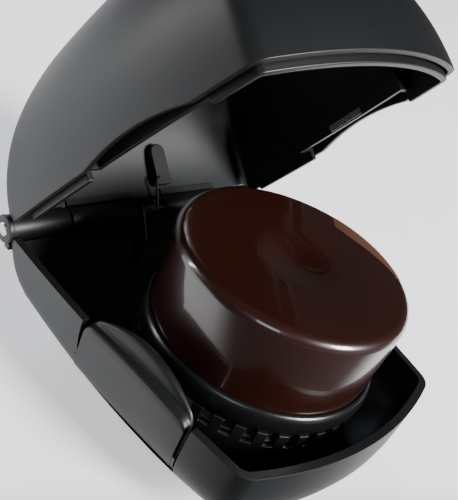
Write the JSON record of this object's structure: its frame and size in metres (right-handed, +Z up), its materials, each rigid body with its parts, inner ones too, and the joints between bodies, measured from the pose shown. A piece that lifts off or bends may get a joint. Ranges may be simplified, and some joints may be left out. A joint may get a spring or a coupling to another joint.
{
  "type": "pod coffee machine",
  "caption": "Palm-sized clamshell pod coffee machine: a sprung domed lid on a hinge barrel over a bowl-shaped base with squeeze tabs, holding a capsule in a castellated seat.",
  "frame": {"origin": "on the floor, under the middle of the machine's overall box with the lid open", "axes": "+X from the hinge towards the front, +Y along the hinge, +Z up"},
  "size_m": [0.1114, 0.0908, 0.113],
  "materials": {
    "shell": "satin moulded",
    "liner": "satin moulded",
    "steel": "brushed",
    "rubber": "moulded, matt",
    "capsule": "glossy anodised",
    "foil": "satin foil",
    "filter": "paper",
    "coffee": "ground, matt"
  },
  "bodies": {
    "base": {"base_casing": "shell", "base_knuckle_near": "shell", "base_knuckle_far": "shell", "base_spring_pad": "liner", "plinth": "liner", "foot_pad_1": "rubber", "foot_pad_2": "rubber", "foot_pad_3": "rubber", "foot_pad_4": "rubber", "seat_ring": "liner", "brew_cup": "steel", "piercing_plate": "steel", "seat_gasket": "rubber", "outlet_nozzle": "rubber", "pod_shell": "capsule", "pod_foil": "foil", "pod_filter": "filter", "coffee_bed": "coffee", "tab_bracket_near": "liner", "tab_bracket_far": "liner", "tab_pin_near": "steel", "tab_pin_far": "steel", "hinge_pin": "steel", "pin_cap_near": "shell", "pin_cap_far": "shell", "spring_cover": "shell", "torsion_spring": "steel"},
    "lid": {"lid_casing": "shell", "lid_lip_front": "liner", "lid_lip_near": "liner", "lid_lip_far": "liner", "lid_band_near": "liner", "lid_band_far": "liner", "lid_catch_near": "steel", "lid_catch_far": "steel", "lid_knuckle_near": "shell", "lid_knuckle_far": "shell", "lid_spring_pad": "liner", "head_bracket": "liner", "injection_head": "steel", "injection_needle": "steel", "head_gasket": "rubber"},
    "tab_near": {"tab_near": "shell"},
    "tab_far": {"tab_far": "shell"}
  },
  "joints": [
    {"name": "lid_hinge", "type": "hinge", "parent": "base", "child": "lid", "pos_m": [-0.03564, 0, 0.025], "axis": [0, -1, 0], "range_deg": [-56.5, 0], "stiffness_Nm_per_rad": 0.02, "springref_deg": 45.84, "deforming": ["torsion_spring"]},
    {"name": "tab_near_press", "type": "hinge", "parent": "base", "child": "tab_near", "pos_m": [0.01592, -0.03553, 0.0126], "axis": [-0.993, -0.1178, 0], "range_deg": [0, 2.5], "stiffness_Nm_per_rad": 0.05, "springref_deg": -11.46},
    {"name": "tab_far_press", "type": "hinge", "parent": "base", "child": "tab_far", "pos_m": [0.01592, 0.03553, 0.0126], "axis": [0.993, -0.1178, 0], "range_deg": [0, 2.5], "stiffness_Nm_per_rad": 0.05, "springref_deg": -11.46}
  ]
}
